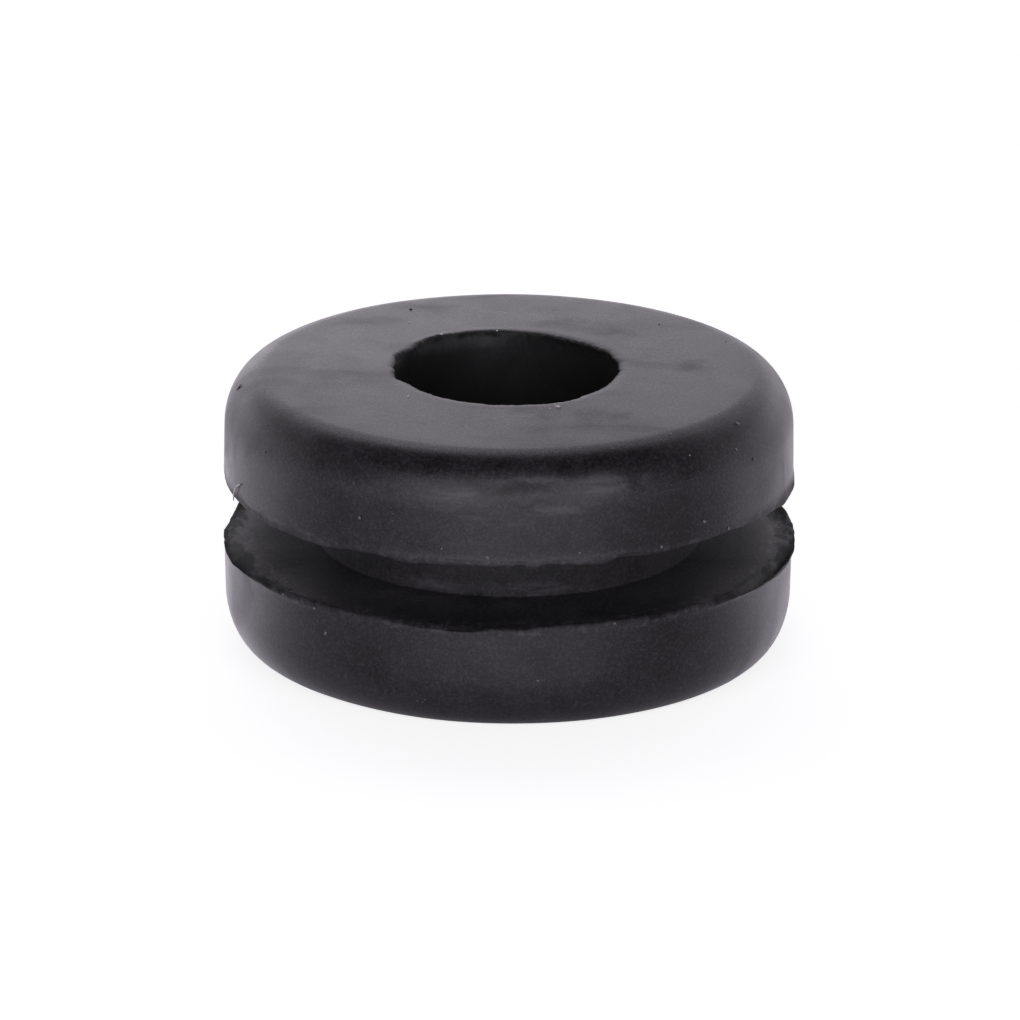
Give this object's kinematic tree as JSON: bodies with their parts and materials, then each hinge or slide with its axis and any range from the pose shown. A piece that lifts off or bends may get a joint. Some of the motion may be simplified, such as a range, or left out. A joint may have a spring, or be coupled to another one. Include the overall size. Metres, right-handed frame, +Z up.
{
  "type": "rubber grommet",
  "caption": "Black rubber grommet with equal round flanges, a panel groove between them and a plain round bore for a cable.",
  "frame": {"origin": "on the bore axis, in the flat face of the lower flange that the grommet lies on", "axes": "+Z up along the bore axis, from the lower flange to the upper one; +Y away from the viewer of the picture, +X to the viewer's right"},
  "size_m": [0.0145, 0.0146, 0.0071],
  "materials": {
    "rubber": "moulded, satin, with fine handling marks"
  },
  "bodies": {
    "root": {"grommet": "rubber"}
  },
  "joints": []
}
